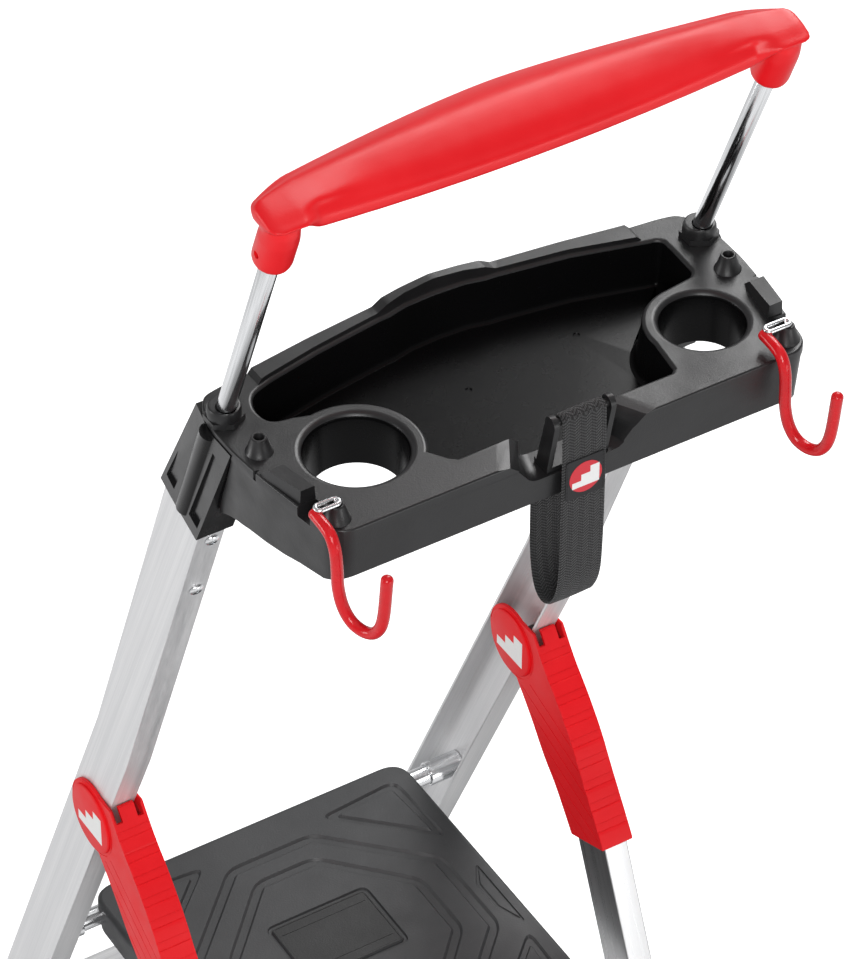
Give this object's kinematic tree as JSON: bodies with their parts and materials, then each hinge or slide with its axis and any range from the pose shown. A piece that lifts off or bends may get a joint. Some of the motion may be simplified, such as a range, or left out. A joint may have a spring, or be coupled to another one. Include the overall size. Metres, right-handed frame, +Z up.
{
  "type": "step ladder",
  "caption": "Folding step ladder with a standing platform, a tool tray above it with cup holes, wire hooks and a strap loop, and a safety grip across the top.",
  "frame": {"origin": "on the floor, under the middle of the open ladder's box", "axes": "+Z up; +X across the ladder, to the left of someone looking at it from the rear legs' side; -Y the climbing side, +Y the rear legs' side"},
  "size_m": [0.351, 1.0657, 1.7487],
  "materials": {
    "stile": "brushed",
    "leg": "brushed",
    "post": "bright, slightly streaked",
    "tray": "satin",
    "grip": "satin",
    "screw": "bright",
    "tube": "bright",
    "tread": "brushed",
    "platform": "matt",
    "foot": "matt",
    "cover": "satin",
    "pin": "bright",
    "bush": "matt",
    "hook": "gloss",
    "strap": "woven",
    "patch": "matt"
  },
  "bodies": {
    "front_frame": {"axle_collar_left": "tube", "axle_collar_right": "tube", "front_foot_left": "foot", "front_foot_right": "foot", "grip": "grip", "grip_screw_left": "screw", "grip_screw_right": "screw", "hinge_bush_left": "bush", "hinge_bush_right": "bush", "platform_axle": "tube", "post_collar_left": "tray", "post_collar_right": "tray", "post_left": "post", "post_right": "post", "stile_cap_left": "tray", "stile_cap_right": "tray", "stile_left": "stile", "stile_right": "stile", "stile_screw_lower_left": "screw", "stile_screw_lower_right": "screw", "stile_screw_upper_left": "screw", "stile_screw_upper_right": "screw", "strap": "strap", "strap_bracket": "tray", "strap_patch": "patch", "tray": "tray", "tread_1": "tread", "tread_2": "tread", "tread_3": "tread"},
    "rear_frame": {"hinge_cover_left": "cover", "hinge_cover_right": "cover", "hinge_disc_inner_left": "cover", "hinge_disc_inner_right": "cover", "hinge_disc_outer_left": "cover", "hinge_disc_outer_right": "cover", "hinge_pin_left": "pin", "hinge_pin_right": "pin", "platform_rest_tube": "tube", "rear_brace_lower": "leg", "rear_brace_upper": "leg", "rear_foot_left": "foot", "rear_foot_right": "foot", "rear_leg_left": "leg", "rear_leg_right": "leg"},
    "platform_top": {"platform": "platform"},
    "left_hook": {"hook_left": "hook"},
    "right_hook": {"hook_right": "hook"}
  },
  "joints": [
    {"name": "rear_fold", "type": "hinge", "parent": "front_frame", "child": "rear_frame", "pos_m": [0, -0.00215, 1.088], "axis": [-1, 0, 0], "range_deg": [0, 47]},
    {"name": "platform_tilt", "type": "hinge", "parent": "front_frame", "child": "platform_top", "pos_m": [0, -0.09915, 0.887], "axis": [1, 0, 0], "range_deg": [0, 65.7]},
    {"name": "hook_left_swivel", "type": "hinge", "parent": "front_frame", "child": "left_hook", "pos_m": [0.149, 0.27985, 1.547], "axis": [0, 0, 1], "range_deg": [0, 30]},
    {"name": "hook_right_swivel", "type": "hinge", "parent": "front_frame", "child": "right_hook", "pos_m": [-0.149, 0.27985, 1.547], "axis": [0, 0, 1], "range_deg": [0, 30]}
  ],
  "couplings": [
    {"joint": "platform_tilt", "follows": "rear_fold", "ratio": 1.395}
  ]
}
